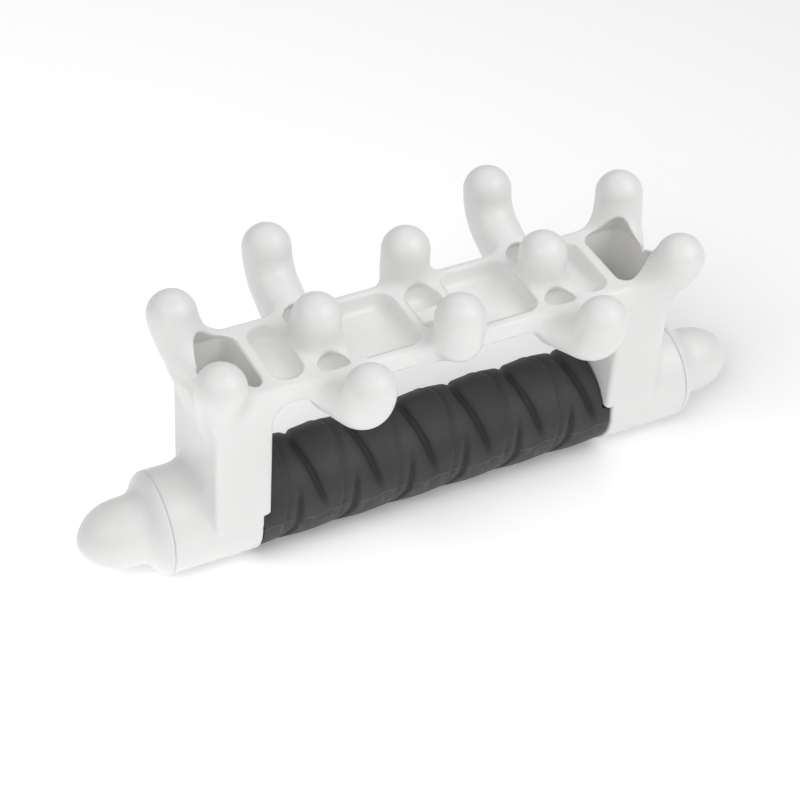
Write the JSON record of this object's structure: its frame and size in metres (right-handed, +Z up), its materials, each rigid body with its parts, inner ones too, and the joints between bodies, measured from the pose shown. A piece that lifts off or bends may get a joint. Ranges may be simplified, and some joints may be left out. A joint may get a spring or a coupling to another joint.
{
  "type": "pressure-point massage tool",
  "caption": "Rigid hand-held massage tool: a rail of round-tipped fingers above a rubber-sleeved handle, with screw-on bullet-nosed caps at both ends.",
  "frame": {"origin": "centre of the base, on the surface that the two foot pads stand on, midway along the handle", "axes": "+X along the handle to the right, +Y to the back, +Z up from the foot pads to the finger tips"},
  "size_m": [0.2412, 0.0904, 0.0928],
  "materials": {
    "white_plastic": "smooth satin moulded white plastic, softly glossy on the finger tips",
    "tube_plastic": "plain extruded grey-white tube, never seen in use",
    "grip_rubber": "matte charcoal rubber with a moulded wrapped-strap relief and a mould line",
    "washer_rubber": "plain black elastic washer"
  },
  "bodies": {
    "handle": {"frame": "white_plastic", "handle_tube": "tube_plastic", "grip_sleeve": "grip_rubber"},
    "left_washer": {"left_washer": "washer_rubber"},
    "left_cap": {"left_end_cap": "white_plastic"},
    "right_washer": {"right_washer": "washer_rubber"},
    "right_cap": {"right_end_cap": "white_plastic"}
  },
  "joints": [
    {"name": "left_cap_travel", "type": "slide", "parent": "handle", "child": "left_washer", "axis": [-1, 0, 0], "range_m": [0, 0.012]},
    {"name": "left_cap_turn", "type": "hinge", "parent": "left_washer", "child": "left_cap", "pos_m": [-0.0945, 0, 0.0175], "axis": [-1, 0, 0], "range_deg": [0, 1440]},
    {"name": "right_cap_travel", "type": "slide", "parent": "handle", "child": "right_washer", "axis": [1, 0, 0], "range_m": [0, 0.012]},
    {"name": "right_cap_turn", "type": "hinge", "parent": "right_washer", "child": "right_cap", "pos_m": [0.0945, 0, 0.0175], "axis": [1, 0, 0], "range_deg": [0, 1440]}
  ],
  "couplings": [
    {"joint": "left_cap_travel", "follows": "left_cap_turn", "m_per_rad": 0.00047746},
    {"joint": "right_cap_travel", "follows": "right_cap_turn", "m_per_rad": 0.00047746}
  ]
}
